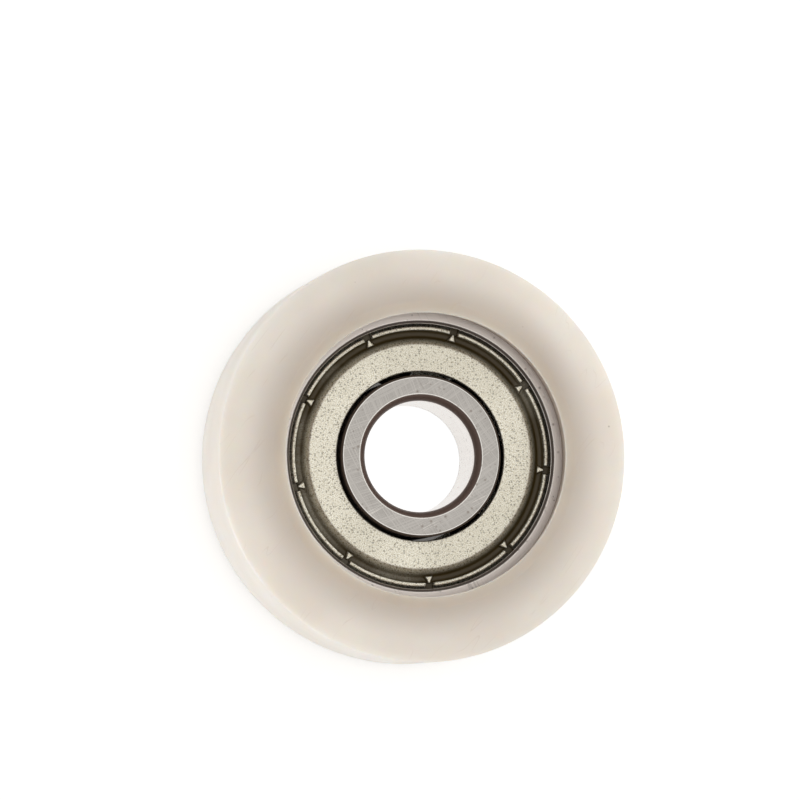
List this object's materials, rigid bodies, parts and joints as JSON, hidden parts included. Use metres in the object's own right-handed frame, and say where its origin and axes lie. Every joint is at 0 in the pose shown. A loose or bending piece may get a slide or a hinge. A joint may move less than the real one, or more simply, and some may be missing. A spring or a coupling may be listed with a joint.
{
  "type": "nylon roller wheel with a ball bearing",
  "caption": "White nylon roller wheel with a plain tread and crowned sides, moulded round a metal shielded ball bearing that turns on a round axle.",
  "frame": {"origin": "centre of the wheel: on its axis, in its middle plane", "axes": "+Z along the axis, out of the end that the picture shows; +X through the first ball"},
  "size_m": [0.0296, 0.0296, 0.011],
  "materials": {
    "nylon": "satin moulded nylon",
    "ring_steel": "ground bearing steel",
    "shield_steel": "pressed steel with a peened grain",
    "cage_steel": "pressed steel strip",
    "rivet_steel": "headed steel wire",
    "ball_steel": "polished bearing steel"
  },
  "bodies": {
    "inner_ring": {"inner_ring": "ring_steel"},
    "wheel": {"nylon_wheel": "nylon", "outer_ring": "ring_steel", "front_shield": "shield_steel", "rear_shield": "shield_steel"},
    "cage": {"cage_front_half": "cage_steel", "cage_rear_half": "cage_steel", "cage_rivets": "rivet_steel"},
    "ball_1": {"ball_1": "ball_steel"},
    "ball_2": {"ball_2": "ball_steel"},
    "ball_3": {"ball_3": "ball_steel"},
    "ball_4": {"ball_4": "ball_steel"},
    "ball_5": {"ball_5": "ball_steel"},
    "ball_6": {"ball_6": "ball_steel"},
    "ball_7": {"ball_7": "ball_steel"}
  },
  "joints": [
    {"name": "wheel_spin", "type": "hinge", "parent": "inner_ring", "child": "wheel", "pos_m": [0, 0, 0], "axis": [0, 0, 1], "continuous": true},
    {"name": "cage_spin", "type": "hinge", "parent": "inner_ring", "child": "cage", "pos_m": [0, 0, 0], "axis": [0, 0, 1], "continuous": true},
    {"name": "ball_1_spin", "type": "hinge", "parent": "cage", "child": "ball_1", "pos_m": [0.0075, 0, 0], "axis": [0, 0, 1], "continuous": true},
    {"name": "ball_2_spin", "type": "hinge", "parent": "cage", "child": "ball_2", "pos_m": [0.00468, 0.00586, 0], "axis": [0, 0, 1], "continuous": true},
    {"name": "ball_3_spin", "type": "hinge", "parent": "cage", "child": "ball_3", "pos_m": [-0.00167, 0.00731, 0], "axis": [0, 0, 1], "continuous": true},
    {"name": "ball_4_spin", "type": "hinge", "parent": "cage", "child": "ball_4", "pos_m": [-0.00676, 0.00325, 0], "axis": [0, 0, 1], "continuous": true},
    {"name": "ball_5_spin", "type": "hinge", "parent": "cage", "child": "ball_5", "pos_m": [-0.00676, -0.00325, 0], "axis": [0, 0, 1], "continuous": true},
    {"name": "ball_6_spin", "type": "hinge", "parent": "cage", "child": "ball_6", "pos_m": [-0.00167, -0.00731, 0], "axis": [0, 0, 1], "continuous": true},
    {"name": "ball_7_spin", "type": "hinge", "parent": "cage", "child": "ball_7", "pos_m": [0.00468, -0.00586, 0], "axis": [0, 0, 1], "continuous": true}
  ],
  "couplings": [
    {"joint": "cage_spin", "follows": "wheel_spin", "ratio": 0.6323},
    {"joint": "ball_1_spin", "follows": "wheel_spin", "ratio": 1.7573},
    {"joint": "ball_2_spin", "follows": "wheel_spin", "ratio": 1.7573},
    {"joint": "ball_3_spin", "follows": "wheel_spin", "ratio": 1.7573},
    {"joint": "ball_4_spin", "follows": "wheel_spin", "ratio": 1.7573},
    {"joint": "ball_5_spin", "follows": "wheel_spin", "ratio": 1.7573},
    {"joint": "ball_6_spin", "follows": "wheel_spin", "ratio": 1.7573},
    {"joint": "ball_7_spin", "follows": "wheel_spin", "ratio": 1.7573}
  ]
}
